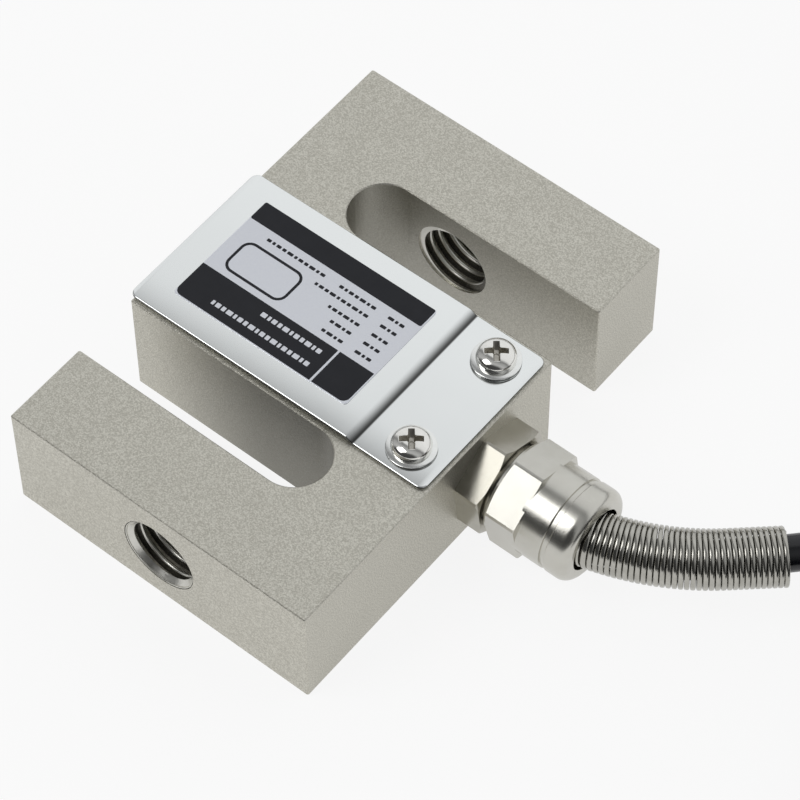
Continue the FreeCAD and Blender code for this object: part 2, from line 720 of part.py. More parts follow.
def board_pad():
    return board_plate(PAD_INSET, BOARD_CORNER, BOARD_Z - PAD_THICKNESS, PAD_THICKNESS)


def terminal_board():
    return board_plate(0, BOARD_CORNER, BOARD_Z, BOARD_THICKNESS)


def trim_resistors():
    """Three chip resistors in a row at the board's far end."""
    length, width, height = RESISTOR
    x = BOARD_X0 + RESISTOR_FROM_END
    places = [Vector(x, k * RESISTOR_SPACING - width / 2, BOARD_TOP) for k in (-1, 0, 1)]
    return Part.makeCompound([Part.makeBox(length, width, height, place) for place in places])


def cable_core(side_y, side_z):
    """One of the cable's cores, from its cut end in the pocket to its place on the board."""
    x0 = WEB_RADIUS - CABLE_STICKS_IN
    y0 = side_y * CORE_OFFSET
    z0 = AXIS_Z + side_z * CORE_OFFSET
    target = side_y * SOLDER_SPACING * (0.5 if side_z > 0 else 1.5)
    lands = BOARD_TOP + CORE_RADIUS
    points = [
        (x0, y0, z0),
        (x0 - CORE_FREE, y0, z0),
        (BOARD_X1 + CORE_DROP_START, target, lands + CORE_RISE),
        (BOARD_X1 - CORE_REACH, target, lands),
    ]
    return rod(rounded_edges(points, [0, CORE_BEND, CORE_BEND, 0]), CORE_RADIUS)


def build():
    lower, upper = screw_places()
    route = run_edges()
    nodes = {
        "load_body": load_body(),
        "cover_plate": cover_plate(),
        "cover_seal": cover_seal(),
        "rating_label": rating_label(),
        "cover_screw_lower": cover_screw(*lower),
        "cover_screw_upper": cover_screw(*upper),
        "cover_washer_lower": cover_washer(*lower),
        "cover_washer_upper": cover_washer(*upper),
        "gland_body": gland_body(),
        "gland_seal": gland_seal(),
        "gland_claw": gland_claw(),
        "gland_cap": gland_cap(),
        "guard_spring": guard_spring(),
        "cable_inner": cable_inner(),
        "cable_run": cable_run(route),
        "cable_coil": cable_coil(route),
        "cable_end_sleeve": cable_end_sleeve(),
        "lead_strands": lead_strands(),
        "board_pad": board_pad(),
        "terminal_board": terminal_board(),
        "trim_resistors": trim_resistors(),
    }
    for place, sides in gauge_sides().items():
        nodes["strain_gauge_" + place] = strain_gauge(*sides)
    for colour, place in LEADS.items():
        nodes["lead_" + colour] = lead(*place)
        nodes["core_" + colour] = cable_core(place[0], 2 * place[1] - 1)
    return nodes


def main():
    os.makedirs("parts", exist_ok=True)
    for name, shape in build().items():
        solids = shape.Solids
        print(name, "valid" if shape.isValid() else "NOT VALID", len(solids), "solids")
        solids = solids[0] if len(solids) == 1 else Part.makeCompound(solids)
        solids.exportStep("parts/" + name + ".step")


main()
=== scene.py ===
import math

import bmesh
import bpy
from mathutils import Matrix, Vector


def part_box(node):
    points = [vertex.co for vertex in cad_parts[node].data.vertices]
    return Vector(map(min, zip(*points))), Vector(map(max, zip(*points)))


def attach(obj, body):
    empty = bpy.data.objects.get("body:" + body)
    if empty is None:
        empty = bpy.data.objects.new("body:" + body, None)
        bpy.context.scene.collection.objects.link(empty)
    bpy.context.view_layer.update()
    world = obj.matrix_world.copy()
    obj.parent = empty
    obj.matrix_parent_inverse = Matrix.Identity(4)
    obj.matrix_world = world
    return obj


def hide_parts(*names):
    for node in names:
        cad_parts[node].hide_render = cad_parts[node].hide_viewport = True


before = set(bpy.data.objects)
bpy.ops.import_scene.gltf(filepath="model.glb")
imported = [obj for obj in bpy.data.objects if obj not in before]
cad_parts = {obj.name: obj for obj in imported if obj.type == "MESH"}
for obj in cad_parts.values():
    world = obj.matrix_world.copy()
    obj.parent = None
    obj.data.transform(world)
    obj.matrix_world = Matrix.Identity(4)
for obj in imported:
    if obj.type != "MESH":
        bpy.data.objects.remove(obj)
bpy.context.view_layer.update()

# S type load cell. It lies on its back face: X runs towards the gland, Y along the load axis
# and Z out through the cover plate. Lengths are in metres.
MM = 0.001

# ---- Places taken from the frame ----
BLOCK_LOW, BLOCK_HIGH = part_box("load_body")
COVER_LOW, COVER_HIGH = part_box("cover_plate")
BLOCK_TOP = BLOCK_HIGH.z
AXIS_Z = BLOCK_TOP / 2  # height of the threads' and the gland's axes


def link(item):
    bpy.context.scene.collection.objects.link(item)


def as_mesh(bm, name):
    """Turns a mesh in the making into a mesh."""
    mesh = bpy.data.meshes.new(name)
    bm.to_mesh(mesh)
    bm.free()
    return mesh


def eased(share):
    """Goes smoothly from 0 to 1."""
    share = min(max(share, 0.0), 1.0)
    return share * share * (3 - 2 * share)


# =====================================================================================
# Camera
# =====================================================================================
CAMERA_TURN = 39.275  # degrees round the object, from straight in front
CAMERA_TILT = 34.512  # degrees off looking straight down
CAMERA_ROLL = -0.435
CAMERA_DISTANCE = 0.50837
CAMERA_AIM = Vector((0.00876, 0.00189, 0.00844))
LENS = 167.68


def place_camera():
    camera = bpy.data.objects.new("camera", bpy.data.cameras.new("camera"))
    link(camera)
    camera.data.lens = LENS
    turn = Matrix.Rotation(math.radians(CAMERA_TURN), 4, "Z")
    tilt = Matrix.Rotation(math.radians(CAMERA_TILT), 4, "X")
    roll = Matrix.Rotation(math.radians(CAMERA_ROLL), 4, "Z")
    aim = turn @ tilt @ roll
    camera.matrix_world = Matrix.Translation(CAMERA_AIM + aim @ Vector((0, 0, CAMERA_DISTANCE))) @ aim
    bpy.context.scene.camera = camera


# =====================================================================================
# Materials
# =====================================================================================
class Field:
    """A value that varies over a surface. Arithmetic on it adds Math nodes."""

    def __init__(self, nodes, socket):
        self.nodes = nodes
        self.socket = socket

    def math(self, operation, first, second=0.0):
        return self.nodes.node("ShaderNodeMath", {"operation": operation}, {0: first, 1: second})

    def __add__(self, other):
        return self.math("ADD", self, other)

    def __radd__(self, other):
        return self.math("ADD", other, self)

    def __sub__(self, other):
        return self.math("SUBTRACT", self, other)

    def __rsub__(self, other):
        return self.math("SUBTRACT", other, self)

    def __mul__(self, other):
        return self.math("MULTIPLY", self, other)

    def __rmul__(self, other):
        return self.math("MULTIPLY", other, self)

    def __mod__(self, other):
        return self.math("FLOORED_MODULO", self, other)

    def __pow__(self, other):
        return self.math("POWER", self, other)

    def __abs__(self):
        return self.math("ABSOLUTE", self)

    def __lt__(self, other):
        return self.math("LESS_THAN", self, other)

    def __gt__(self, other):
        return self.math("GREATER_THAN", self, other)


MIX_FIRST, MIX_SECOND, MIX_RESULT = 6, 7, 2  # the colour sockets of a Mix node


def set_stops(ramp, stops):
    """Sets a ramp's stops: the position of each, and its grey or its colour."""
    while len(ramp.elements) < len(stops):
        ramp.elements.new(1)
    for element, (position, tone) in zip(ramp.elements, stops):
        element.position = position
        element.color = (*tone, 1) if isinstance(tone, tuple) else (tone, tone, tone, 1)


class Nodes:
    """A node tree in the making."""

    def __init__(self, tree):
        self.tree = tree

    def join(self, value, socket):
        """Links a field to a socket, or sets the socket."""
        if isinstance(value, Field):
            self.tree.links.new(value.socket, socket)
        elif isinstance(value, tuple) and len(value) == 3 and socket.type == "RGBA":
            socket.default_value = (*value, 1)
        else:
            socket.default_value = value

    def node(self, kind, settings, inputs, output=0):
        """Adds a node: its settings first, then the values or links of its sockets."""
        node = self.tree.nodes.new(kind)
        for name, value in settings.items():
            if name == "stops":
                set_stops(node.color_ramp, value)
            elif name == "ramp_interpolation":
                node.color_ramp.interpolation = value
            else:
                setattr(node, name, value)
        for name, value in inputs.items():
            self.join(value, node.inputs[name])
        return Field(self, node.outputs[output])

    def axis_of(self, vector, name):
        return self.node("ShaderNodeSeparateXYZ", {}, {"Vector": vector}, name)

    def mix(self, first, second, share):
        """Blends two colours."""
        inputs = {0: share, MIX_FIRST: first, MIX_SECOND: second}
        return self.node("ShaderNodeMix", {"data_type": "RGBA"}, inputs, MIX_RESULT)


class Finish(Nodes):
    """A material in the making: its nodes and the Principled shader that they feed."""

    def __init__(self, name, **constants):
        self.material = bpy.data.materials.new(name)
        self.material.use_nodes = True
        super().__init__(self.material.node_tree)
        self.shader = self.tree.nodes["Principled BSDF"]
        self.set(**constants)

    def set(self, **sockets):
        """Sets or links the shader's sockets; base_color stands for Base Color."""
        named = {socket.name.lower().replace(" ", "_"): socket for socket in self.shader.inputs}
        for name, value in sockets.items():
            self.join(value, named[name])

    def place(self):
        """Where a point lies on the object, in metres."""
        return self.node("ShaderNodeTexCoord", {}, {}, "Object")

    def axis(self, name):
        return self.axis_of(self.place(), name)

    def stretched(self, x, y, z):
        """The place, with each axis scaled, so that a pattern runs along the small one."""
        scaling = {0: self.place(), 1: (x, y, z)}
        return self.node("ShaderNodeVectorMath", {"operation": "MULTIPLY"}, scaling)

    def noise(self, size, detail=2.0, place=None):
        """Soft noise from 0 to 1 with spots of about this size, in metres."""
        inputs = {"Vector": place or self.place(), "Scale": 1 / size, "Detail": detail}
        return self.node("ShaderNodeTexNoise", {}, inputs, "Fac")

    def ramp(self, field, *stops):
        return self.node("ShaderNodeValToRGB", {"stops": stops}, {"Fac": field})

    def spread(self, field, low, high):
        """Stretches a 0 to 1 field over low to high."""
        return self.node("ShaderNodeMapRange", {}, {"Value": field, "To Min": low, "To Max": high})

    def rise(self, field, start, end):
        """Goes smoothly from 0 at start to 1 at end."""
        inputs = {"Value": field, "From Min": start, "From Max": end}
        return self.node("ShaderNodeMapRange", {"interpolation_type": "SMOOTHSTEP"}, inputs)

    def bump(self, height, depth, over=None):
        """Gives the surface relief: height runs from 0 to 1 and is depth metres deep."""
        inputs = {"Height": height, "Distance": depth}
        if over is not None:
            inputs["Normal"] = over
        return self.node("ShaderNodeBump", {}, inputs, "Normal")


def scratches(finish, size, length, amount, turn):
    """A field of fine straight scratches: 1 on a scratch, 0 elsewhere."""
    placing = {
        "Vector": finish.place(),
        "Rotation": (0, 0, turn),
        "Scale": (1 / length, 1 / size, 1 / length),
    }
    turned = finish.node("ShaderNodeMapping", {}, placing)
    lines = finish.noise(1.0, place=turned)
    return finish.ramp(lines, (0, 0), (1 - amount, 0), (1, 1))


# The painted shade on the slots' walls fades in from the first place of each pair to the second.
SLOT_NEAR = (13.7 * MM, 13.85 * MM)  # along Y, from the block's middle
SLOT_FAR = (24.5 * MM, 24.35 * MM)
BLOCK_SIDES = (25.3 * MM, 25.2 * MM)  # along X, so that the outer sides stay bright
LOWER_SLOT_FADE = (-24 * MM, 0)  # along X, from the slot's mouth
UPPER_SLOT_FADE = (40 * MM, -20 * MM)
LEVEL_FADE = (0.5, 0.3)  # square of the normal's Z, so that level faces stay bright
# How strongly shade is painted on the slots' walls, in the upper slot and in both
UPPER_SHADE_SHARE = 0.75  # against the lower slot's
SLOT_SHADE_STRENGTH = 0.85


def painted_slot_shade(finish):
    """Painted shade on the slots' walls: grows from their mouths; 0 on the outer faces."""
    x, y = finish.axis("X"), finish.axis("Y")
    upwards = finish.axis_of(finish.node("ShaderNodeNewGeometry", {}, {}, "Normal"), "Z")
    wall = finish.rise(upwards * upwards, *LEVEL_FADE)
    lower = finish.rise(x, *LOWER_SLOT_FADE) * finish.rise(y, *(-place for place in SLOT_NEAR))
    upper = finish.rise(x, *UPPER_SLOT_FADE) * finish.rise(y, *SLOT_NEAR)
    inside = finish.rise(y * y, *(place**2 for place in SLOT_FAR))
    between_sides = finish.rise(x * x, *(place**2 for place in BLOCK_SIDES))
    return (lower + upper * UPPER_SHADE_SHARE) * wall * inside * between_sides


def nickel_grain(finish, light, dark):
    """The blasted grain: soft mottling with fine darker pits, and painted shade on the slots' walls.
    """
    pits = finish.ramp(finish.noise(0.21 * MM, 1.0), (0.36, 0.0), (0.62, 1.0))
    mottle = finish.noise(7 * MM, 3.0)
    middle = tuple(a * 0.7 + b * 0.3 for a, b in zip(light, dark))
    tone = finish.mix(middle, light, mottle)
    relief = finish.noise(0.20 * MM, 1.0)
    # deep: the darker colour that paints shade on the slots' walls
    deep = tuple(value * 0.45 for value in dark)
    finish.set(
        base_color=finish.mix(finish.mix(tone, dark, pits), deep, painted_slot_shade(finish) * SLOT_SHADE_STRENGTH),
        roughness=finish.spread(relief, 0.34, 0.54),
        normal=finish.bump(relief, 0.035 * MM),
    )
    return finish.material


def blasted_nickel():
    """Bead-blasted steel under matt nickel plating."""
    finish = Finish("blasted_nickel", metallic=1.0)
    return nickel_grain(finish, (0.735, 0.717, 0.643), (0.52, 0.503, 0.44))


def oily_nickel():
    """The same plating, darkened with oil and painted shade between the threads."""
    finish = Finish("oily_nickel", metallic=1.0)
    return nickel_grain(finish, (0.22, 0.21, 0.18), (0.12, 0.115, 0.10))


def turned_nickel():
    """Bright turned plating: the threads' crests and the countersinks."""
    finish = Finish("turned_nickel", metallic=1.0)
    cloud = finish.noise(0.8 * MM, 3.0)
    finish.set(
        base_color=finish.mix((0.66, 0.65, 0.60), (0.78, 0.77, 0.72), cloud),
        roughness=finish.spread(cloud, 0.26, 0.38),
        normal=finish.bump(finish.noise(0.25 * MM), 0.01 * MM),
    )
    return finish.material


DUST_AND_SHADE_GATHERS = (11.3 * MM, 12.95 * MM)  # where along X dust and painted shade darken the fold's slope
DUST_AND_SHADE_ENDS = (13.35 * MM, 13.0 * MM)  # and where it stops at the fold's foot


def polished_cover():
    """Bright stainless sheet with a few wiping marks, and dust and painted shade in its fold."""
    finish = Finish("polished_steel", metallic=1.0)
    marks = scratches(finish, 0.12 * MM, 6 * MM, 0.28, 0.5)
    haze = finish.noise(9 * MM, 3.0)
    along = finish.axis("X")
    dust_and_shade = finish.rise(along, *DUST_AND_SHADE_GATHERS) * finish.rise(along, *DUST_AND_SHADE_ENDS)
    bright = finish.mix((0.86, 0.885, 0.88), (0.90, 0.92, 0.915), haze)
    finish.set(
        # The fold darkens almost to black: dust, and shade painted at its foot.
        base_color=finish.mix(bright, (0.03, 0.03, 0.028), dust_and_shade**1.6 * 0.95),
        roughness=finish.spread(haze, 0.08, 0.14) + marks * 0.08,
        normal=finish.bump(haze, 0.01 * MM),
    )
    return finish.material


def sheared_edge():
    """The sheet's cut edge: duller, and painted dark as shade, with fine upright marks."""
    finish = Finish("sheared_edge", metallic=1.0)
    marks = finish.noise(0.15 * MM, 2.0, finish.stretched(1, 1, 0.1))
    finish.set(
        base_color=finish.mix((0.13, 0.13, 0.125), (0.24, 0.24, 0.23), marks),
        roughness=finish.spread(marks, 0.35, 0.50),
    )
    return finish.material


def label_foil():
    """Matt silver film with a faint weave."""
    finish = Finish("label_foil", metallic=0.35)
    weave = finish.noise(0.4 * MM, 2.0)
    finish.set(
        base_color=finish.mix((0.75, 0.77, 0.83), (0.80, 0.82, 0.87), weave),
        roughness=finish.spread(weave, 0.30, 0.40),
        normal=finish.bump(weave, 0.002 * MM),
    )
    return finish.material


def label_ink():
    """Black print."""
    finish = Finish("label_ink", specular_ior_level=0.25)
    cloud = finish.noise(2 * MM, 3.0)
    finish.set(
        base_color=finish.mix((0.010, 0.011, 0.015), (0.020, 0.021, 0.026), cloud),
        roughness=finish.spread(cloud, 0.36, 0.50),
    )
    return finish.material


def bright_plating(name, tone, low, high):
    """Bright plating with faint cloudy wear."""
    finish = Finish(name, metallic=1.0)
    cloud = finish.noise(0.9 * MM, 3.0)
    dimmer = tuple(value * 0.86 for value in tone)
    finish.set(
        base_color=finish.mix(dimmer, tone, cloud),
        roughness=finish.spread(cloud, low, high),
        normal=finish.bump(finish.noise(0.25 * MM), 0.004 * MM),
    )
    return finish.material


def screw_plating():
    return bright_plating("screw_plating", (0.93, 0.92, 0.88), 0.10, 0.18)


def recess_plating():
    """The recess of a screw: dull and darker, with dirt and painted shade in it."""
    return bright_plating("recess_plating", (0.52, 0.50, 0.45), 0.25, 0.40)


def washer_plating():
    return bright_plating("washer_plating", (0.94, 0.95, 0.93), 0.12, 0.22)


def gland_nickel(name, light, dark):
    """Nickel-plated brass, turned and milled, with small handling scratches."""
    finish = Finish(name, metallic=1.0)
    rings = finish.noise(0.10 * MM, 2.0, finish.stretched(1, 0.03, 0.03))
    marks = scratches(finish, 0.10 * MM, 3 * MM, 0.30, 0.9)
    cloud = finish.noise(3 * MM, 3.0)
    finish.set(
        base_color=finish.mix(dark, light, cloud),
        roughness=finish.spread(cloud, 0.18, 0.28) + marks * 0.2,
        normal=finish.bump(finish.noise(0.16 * MM), 0.006 * MM, finish.bump(rings, 0.003 * MM)),
    )
    return finish.material


def spring_steel():
    """Drawn wire with a little oil between its turns."""
    finish = Finish("spring_wire", metallic=1.0)
    cloud = finish.noise(1.2 * MM, 3.0)
    finish.set(
        base_color=finish.mix((0.36, 0.35, 0.315), (0.60, 0.59, 0.545), cloud),
        roughness=finish.spread(cloud, 0.12, 0.22),
    )
    return finish.material


def moulded(name, tone, low, high, grain=0.3 * MM):
    """A plain moulded or painted surface with a fine grain."""
    finish = Finish(name)
    cloud = finish.noise(2 * MM, 3.0)
    shaded = tuple(value * 0.8 for value in tone)
    finish.set(
        base_color=finish.mix(shaded, tone, cloud),
        roughness=finish.spread(cloud, low, high),
        normal=finish.bump(finish.noise(grain), 0.01 * MM),
    )
    return finish.material


def glossy_sheath():
    """Smooth black cable sheath."""
    return moulded("cable_sheath", (0.006, 0.007, 0.010), 0.14, 0.24, 0.8 * MM)


FOIL_LINES = 0.28 * MM  # from one line of the grid to the next


def gauge_foil():
    """Amber film with the fine lines of a foil grid."""
    finish = Finish("gauge_foil")
    across = finish.axis("X") + finish.axis("Y")
    lines = (across % FOIL_LINES) > FOIL_LINES / 2
    finish.set(
        base_color=finish.mix((0.52, 0.27, 0.06), (0.60, 0.52, 0.40), lines),
        metallic=lines * 0.7,
        roughness=finish.spread(finish.noise(1 * MM), 0.3, 0.45),
    )
    return finish.material


PAD_PITCH = 2.8 * MM
PAD_HALF = (1.3 * MM, 0.8 * MM)  # along X and along Y
PADS_X = -12 * MM  # the row of pads runs along Y here


def board_green():
    """Green board with a row of tinned pads."""
    finish = Finish("board_green")
    along = abs((finish.axis("Y") % PAD_PITCH) - PAD_PITCH / 2) < PAD_HALF[1]
    across = abs(finish.axis("X") - PADS_X) < PAD_HALF[0]
    pads = along * across
    cloud = finish.noise(1.5 * MM, 3.0)
    green = finish.mix((0.015, 0.13, 0.045), (0.03, 0.22, 0.08), cloud)
    finish.set(
        base_color=finish.mix(green, (0.62, 0.62, 0.60), pads),
        metallic=pads,
        roughness=finish.spread(cloud, 0.22, 0.38),
    )
    return finish.material


def tinned_copper():
    """Bare strands, tinned: fine grooves that wind round them."""
    finish = Finish("tinned_copper", metallic=1.0)
    grooves = finish.noise(0.12 * MM, 1.0, finish.stretched(1, 1, 0.4))
    finish.set(
        base_color=finish.mix((0.52, 0.50, 0.47), (0.74, 0.73, 0.71), grooves),
        roughness=finish.spread(grooves, 0.22, 0.36),
        normal=finish.bump(grooves, 0.03 * MM),
    )
    return finish.material


# =====================================================================================
# Floor and light
# =====================================================================================
FRONT_TO_BACK = [  # where a direction points along Y, from 0 in front to 1 at the back; its level
    (0.02, 0.05),
    (0.20, 0.06),
    (0.34, 0.46),
    (0.46, 0.38),
    (0.55, 0.20),
    (0.65, 0.80),
    (0.84, 0.86),
    (0.96, 0.84),
]
ROOM_TINT = (0.98, 0.99, 1.0)
HORIZON = (0.12, 0.12, 0.12)
HORIZON_HEIGHT = (0.06, 0.14)  # sine of the height at which the dark horizon ends
FLOOR_HALF = 3.0
FLOOR_GLOW_SEEN = 0.88  # share of plain white in the floor, as the camera sees it
FLOOR_GLOW_MIRRORED = 0.64  # and as it is seen mirrored or through something clear
FRONT_BOX_TOWARDS = (-0.36, -0.51, 0.78)
FRONT_BOX_DISTANCE = 0.9
FRONT_BOX_SIZE = (0.42, 0.58)
FRONT_BOX_POWER = 2.1


def floor_finish():
    """Plain pale floor: partly plain white, partly shaded, so that it keeps the shadow."""
    finish = Finish("floor", base_color=(0.94, 0.94, 0.94))
    finish.set(roughness=finish.spread(finish.noise(0.05), 0.7, 0.8))
    seen = finish.node("ShaderNodeLightPath", {}, {}, "Is Camera Ray")
    mirrored = finish.node("ShaderNodeLightPath", {}, {}, "Is Glossy Ray")
    through = finish.node("ShaderNodeLightPath", {}, {}, "Is Transmission Ray")
    white = seen * FLOOR_GLOW_SEEN + mirrored * FLOOR_GLOW_MIRRORED + through * FLOOR_GLOW_MIRRORED
    shaded = Field(finish, finish.shader.outputs[0])
    glow = finish.node("ShaderNodeEmission", {}, {})
    surface = finish.node("ShaderNodeMixShader", {}, {0: white, 1: shaded, 2: glow})
    finish.join(surface, finish.tree.nodes["Material Output"].inputs["Surface"])
    return finish.material


def lay_floor():
    bm = bmesh.new()
    bmesh.ops.create_grid(bm, x_segments=1, y_segments=1, size=FLOOR_HALF)
    mesh = as_mesh(bm, "floor")
    floor = bpy.data.objects.new("floor", mesh)
    link(floor)
    mesh.materials.append(floor_finish())


def front_box():
    """A rectangular lamp that faces the object from over its front."""
    lamp = bpy.data.lights.new("front_box", "AREA")
    lamp.shape = "RECTANGLE"
    lamp.size, lamp.size_y = FRONT_BOX_SIZE
    lamp.energy = FRONT_BOX_POWER
    box = bpy.data.objects.new("front_box", lamp)
    away = Vector(FRONT_BOX_TOWARDS).normalized()
    box.location = CAMERA_AIM + away * FRONT_BOX_DISTANCE
    box.rotation_euler = away.to_track_quat("Z", "Y").to_euler()
    link(box)


def studio_world():
    """A room that is dark in front and pale at the back, with a dark horizon all round."""
    world = bpy.data.worlds.new("studio")
    world.use_nodes = True
    nodes = Nodes(world.node_tree)
    direction = nodes.node("ShaderNodeTexCoord", {}, {}, "Generated")
    along = nodes.axis_of(direction, "Y")
    depth = nodes.node("ShaderNodeMapRange", {}, {"Value": along, "From Min": -1.0})
    stops = [(place, tuple(level * share for share in ROOM_TINT)) for place, level in FRONT_TO_BACK]
    settings = {"stops": stops, "ramp_interpolation": "EASE"}
    room = nodes.node("ShaderNodeValToRGB", settings, {"Fac": depth})
    height = {"Value": nodes.axis_of(direction, "Z")}
    height |= {"From Min": HORIZON_HEIGHT[0], "From Max": HORIZON_HEIGHT[1]}
    above = nodes.node("ShaderNodeMapRange", {}, height)
    whole = nodes.mix(HORIZON, room, above)
    nodes.join(whole, nodes.tree.nodes["Background"].inputs["Color"])
    return world


def light_studio():
    scene = bpy.context.scene
    scene.view_settings.view_transform = "Standard"
    scene.world = studio_world()
    front_box()


# =====================================================================================
# Mesh helpers
# =====================================================================================
STEPS_PER_TURN = 64
SAME_PLACE = 1e-7
UPRIGHT = 0.3  # a face is upright where its normal's Z is below this


def closed_mesh(bm, name):
    """Turns a mesh in the making into a mesh, with its seams joined and its faces outward."""
    bmesh.ops.remove_doubles(bm, verts=bm.verts[:], dist=SAME_PLACE)
    bmesh.ops.recalc_face_normals(bm, faces=bm.faces[:])
    return as_mesh(bm, name)


def finished(bm, name, materials, slot, *nodes, sharp=35):
    """Makes a piece of a mesh in the making."""
    return placed(name, closed_mesh(bm, name), materials, slot, *nodes, sharp=sharp)


def piece_of(name, data, slot, *nodes):
    """Makes a piece of a mesh or curve, in its place, and hides the nodes it stands for."""
    piece = bpy.data.objects.new(name, data)
    link(piece)
    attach(piece, "root")
    if nodes:
        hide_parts(*nodes)
    return piece


def placed(name, mesh, materials, slot, *nodes, sharp=35):
    """Makes a piece of a mesh; edges sharper than this many degrees stay sharp."""
    for material in materials if isinstance(materials, list) else [materials]:
        mesh.materials.append(material)
    mesh.shade_smooth()
    mesh.set_sharp_from_angle(angle=math.radians(sharp))
    return piece_of(name, mesh, slot, *nodes)


def outline(bm, points):
    """A closed loop of edges through the points."""
    corners = [bm.verts.new(point) for point in points]
    return corners, [bm.edges.new((corners[i - 1], corners[i])) for i in range(len(corners))]


def spun(bm, geometry, centre, axis, steps, turns=1.0, advance=0.0):
    """Turns geometry about an axis; with an advance, in metres a turn, it winds along it."""
    step = Vector(axis) * (advance * turns / steps)
    bmesh.ops.spin(
        bm,
        geom=geometry,
        cent=centre,
        axis=axis,
        dvec=step,
        angle=2 * math.pi * turns,
        steps=steps,
        use_merge=advance == 0,
    )


def cut_across(bm, place, outwards, clear=False):
    """Cuts every face at a plane, and clears what lies beyond it if asked to."""
    bmesh.ops.bisect_plane(
        bm,
        geom=bm.verts[:] + bm.edges[:] + bm.faces[:],
        plane_co=place,
        plane_no=outwards,
        clear_outer=clear,
    )


def capped(bm):
    bmesh.ops.holes_fill(bm, edges=[edge for edge in bm.edges if edge.is_boundary])


def turned_upright(profile, x, y):
    """A closed profile of (radius, height) points in mm, turned about an upright axis."""
    bm = bmesh.new()
    points = [(x + radius * MM, y, height * MM) for radius, height in profile]
    corners, edges = outline(bm, points)
    spun(bm, corners + edges, (x, y, 0), (0, 0, 1), STEPS_PER_TURN)
    return bm


def rectangle(bm, low, high, corner, rounded=lambda point: True, segments=6):
    """A level rectangle, with those of its corners rounded that the test picks."""
    places = ((low[0], low[1]), (high[0], low[1]), (high[0], high[1]), (low[0], high[1]))
    corners = [bm.verts.new((x, y, 0)) for x, y in places]
    bm.faces.new(corners)
    bmesh.ops.bevel(
        bm,
        geom=[vert for vert in corners if rounded(vert.co)],
        offset=corner,
        segments=segments,
        profile=0.5,
        affect="VERTICES",
        material=-1,
    )


def thickened(bm, height):
    """Gives level sheets their thickness, upwards."""
    made = bmesh.ops.extrude_face_region(bm, geom=bm.faces[:])
    raised = [item for item in made["geom"] if isinstance(item, bmesh.types.BMVert)]
    bmesh.ops.translate(bm, vec=(0, 0, height), verts=raised)


def softened(bm, edges, offset, segments=2):
    """Rounds edges."""
    bmesh.ops.bevel(
        bm,
        geom=edges,
        offset=offset,
        segments=segments,
        profile=0.5,
        affect="EDGES",
        material=-1,
        clamp_overlap=True,
    )


def second_material_upright(bm):
    """Gives upright faces the second material: the cut edge of sheet, painted dark as shade."""
    bm.normal_update()
    for face in bm.faces:
        face.material_index = 1 if abs(face.normal.z) < UPRIGHT else 0


# =====================================================================================
# Threads in the two arms
# =====================================================================================
THREAD_PITCH = 1.75 * MM
THREAD_SECTION = [  # of the ridge: half width and distance from the hole's axis, in mm
    (0.72, 6.05),
    (0.30, 5.26),
    (0.17, 5.09),
    (0.06, 5.053),
]
THREAD_BRIGHT = 5.30 * MM  # the crest is bright within this radius
SINK_DEPTH = 0.85 * MM  # of the countersink at a hole's outer end
THREAD_RUN_OUT = 0.25 * MM  # by which a thread stops short of its slot
SINK_SECTION = [  # its depth and radius in mm: a groove at the rim, a narrow ring, and the cone
    (0.45, 6.05),
    (0.45, 5.93),
    (0.05, 5.88),
    (0.12, 5.78),
    (0.26, 5.76),
    (0.22, 5.68),
    (0.90, 5.07),
    (1.02, 6.05),
]
ARM_HEIGHT = 13.8 * MM  # along Y, from an outer face to its slot


def thread(name, low, high):
    """The thread of one hole, between two places along the bore: a ridge wound up it."""
    bm = bmesh.new()
    turns = (high - low) / THREAD_PITCH + 1
    section = [(-half, radius) for half, radius in THREAD_SECTION]
    section += [(half, radius) for half, radius in reversed(THREAD_SECTION)]
    start = low - THREAD_PITCH / 2
    points = [(radius * MM, start + along * MM, AXIS_Z) for along, radius in section]
    corners, edges = outline(bm, points)
    steps = round(turns * STEPS_PER_TURN)
    spun(bm, corners + edges, (0, 0, AXIS_Z), (0, 1, 0), steps, steps / STEPS_PER_TURN, THREAD_PITCH)
    cut_across(bm, (0, low, 0), (0, -1, 0), clear=True)
    cut_across(bm, (0, high, 0), (0, 1, 0), clear=True)
    capped(bm)
    # Faces beyond the crest keep the first material: oil and painted shade.
    for face in bm.faces:
        middle = face.calc_center_median()
        if math.hypot(middle.x, middle.z - AXIS_Z) < THREAD_BRIGHT:
            face.material_index = 1
    return finished(bm, name, [oily_nickel(), turned_nickel()], "nickel_plate")


def countersink(name, face, inwards):
    """The cone that leads into a hole from an arm's outer face."""
    bm = bmesh.new()
    points = [(radius * MM, face + inwards * depth * MM, AXIS_Z) for depth, radius in SINK_SECTION]
    corners, edges = outline(bm, points)
    spun(bm, corners + edges, (0, 0, AXIS_Z), (0, 1, 0), 2 * STEPS_PER_TURN)
    return finished(bm, name, turned_nickel(), "nickel_plate")


def cut_threads():
    """Threads run out a little before the slots; the outer ends have countersinks."""
    low, high = BLOCK_LOW.y, BLOCK_HIGH.y
    thread("thread_lower", low + SINK_DEPTH, low + ARM_HEIGHT - THREAD_RUN_OUT)
    thread("thread_upper", high - ARM_HEIGHT + THREAD_RUN_OUT, high - SINK_DEPTH)
    countersink("countersink_lower", low, 1)
    countersink("countersink_upper", high, -1)


# =====================================================================================
# Cover
# =====================================================================================
SHEET = 0.5 * MM
COVER_CORNER = 1.2 * MM
PANEL_END = 11.1 * MM  # where the panel's slope ends in the frame
LIFT_FAR = 0.1 * MM
LIFT_STEP = 0.55 * MM
FOLD_START = 11.75 * MM
FOLD_END = 13.1 * MM
FOLD_CUTS = 12
SHEET_ROUND = 0.21 * MM
RIM_ANGLE = math.radians(60)  # edges sharper than this are the sheet's rim


